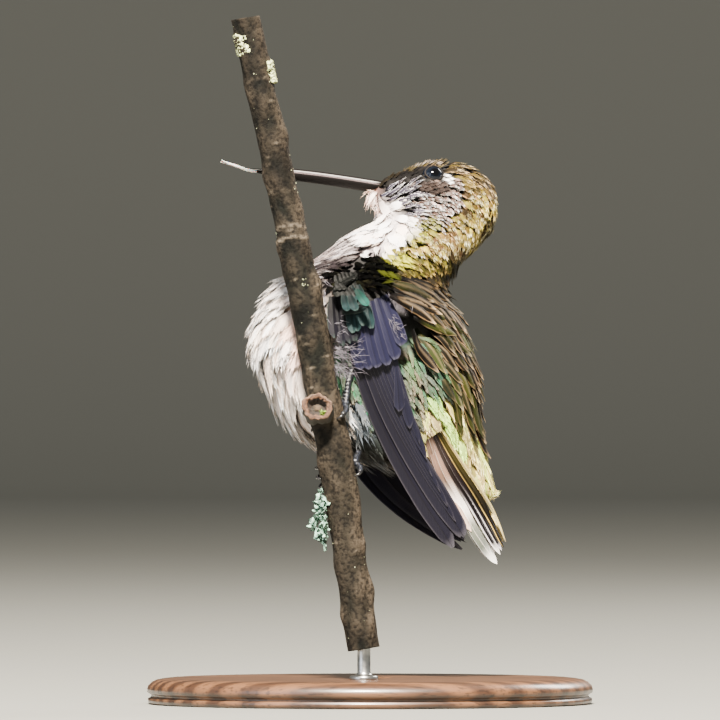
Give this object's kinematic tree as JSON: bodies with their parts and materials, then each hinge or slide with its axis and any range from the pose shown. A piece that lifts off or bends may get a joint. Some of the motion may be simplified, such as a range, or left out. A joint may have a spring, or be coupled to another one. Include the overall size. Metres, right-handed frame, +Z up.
{
  "type": "hummingbird figure",
  "caption": "Life-size ruby-throated hummingbird with ruffled feathers, clinging to a cut twig with its head thrown back, on a round display base.",
  "frame": {"origin": "centre of the display base's underside", "axes": "+Z up, the bird's bill points to -X, its back is towards +X and its left side faces -Y"},
  "size_m": [0.058, 0.058, 0.0892],
  "materials": {
    "plumage": "soft feathers, bronze green above and white below",
    "flight_feather": "smooth dusky vanes with a faint violet sheen",
    "horn": "satin black horn",
    "tongue": "moist, pale and translucent",
    "eye": "wet gloss, near black",
    "foot_skin": "bluish-black scaled skin",
    "bark": "rough grey-brown bark with pale lenticels",
    "cut_wood": "weathered sawn end grain",
    "steel": "brushed",
    "base_wood": "dark turned wood, satin"
  },
  "bodies": {
    "root": {"head": "plumage", "neck": "plumage", "trunk": "plumage", "tail": "flight_feather", "wing_left_coverts": "plumage", "wing_left_secondaries": "flight_feather", "wing_left_primaries": "flight_feather", "wing_right_coverts": "plumage", "wing_right_secondaries": "flight_feather", "wing_right_primaries": "flight_feather", "bill_upper": "horn", "bill_lower": "horn", "tongue": "tongue", "eye_left": "eye", "eye_right": "eye", "leg_left": "foot_skin", "leg_right": "foot_skin", "foot_left": "foot_skin", "foot_right": "foot_skin", "perch_stem": "bark", "perch_stub": "cut_wood", "stand_rod": "steel", "stand_base": "base_wood"}
  },
  "joints": []
}
